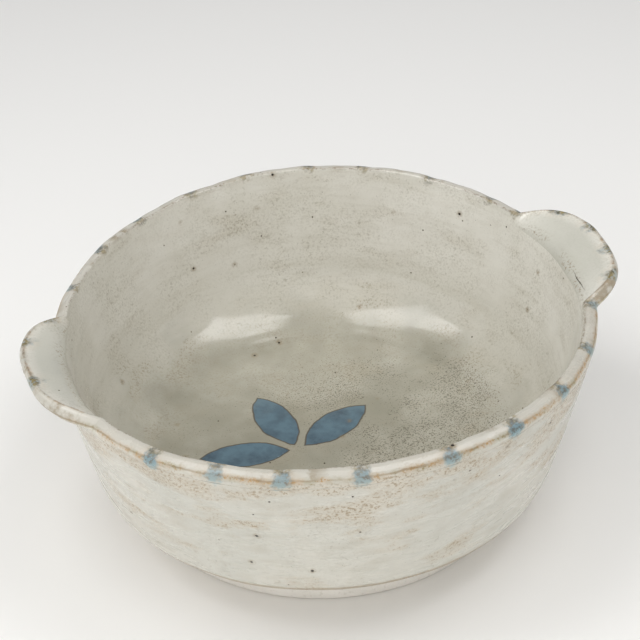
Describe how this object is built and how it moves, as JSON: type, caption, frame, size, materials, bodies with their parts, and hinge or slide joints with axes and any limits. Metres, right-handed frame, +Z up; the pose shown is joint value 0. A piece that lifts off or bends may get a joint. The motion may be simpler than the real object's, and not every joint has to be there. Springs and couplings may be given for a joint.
{
  "type": "handled bowl",
  "caption": "Wide hand-thrown stoneware bowl with a thick rounded lip, a foot ring and lug handles on opposite sides, for serving or mixing.",
  "frame": {"origin": "on the surface that the bowl stands on, under the middle of its overall box", "axes": "+Z up, +X along the handles towards the right lug, +Y towards the back of the bowl"},
  "size_m": [0.3392, 0.3148, 0.1256],
  "materials": {
    "bowl_glaze": "glossy pale grey-green glaze over speckled stoneware",
    "lip_glaze": "glossy pale glaze breaking to iron brown on the edge, with blue dabs",
    "lug_glaze": "glossy pale grey-green glaze breaking to iron brown on the edge, with blue dabs",
    "foot_clay": "thinly glazed stoneware, bare on the standing face"
  },
  "bodies": {
    "root": {"bowl_body": "bowl_glaze", "foot_ring": "foot_clay", "rim_back": "lip_glaze", "rim_front": "lip_glaze", "left_lug": "lug_glaze", "right_lug": "lug_glaze"}
  },
  "joints": []
}
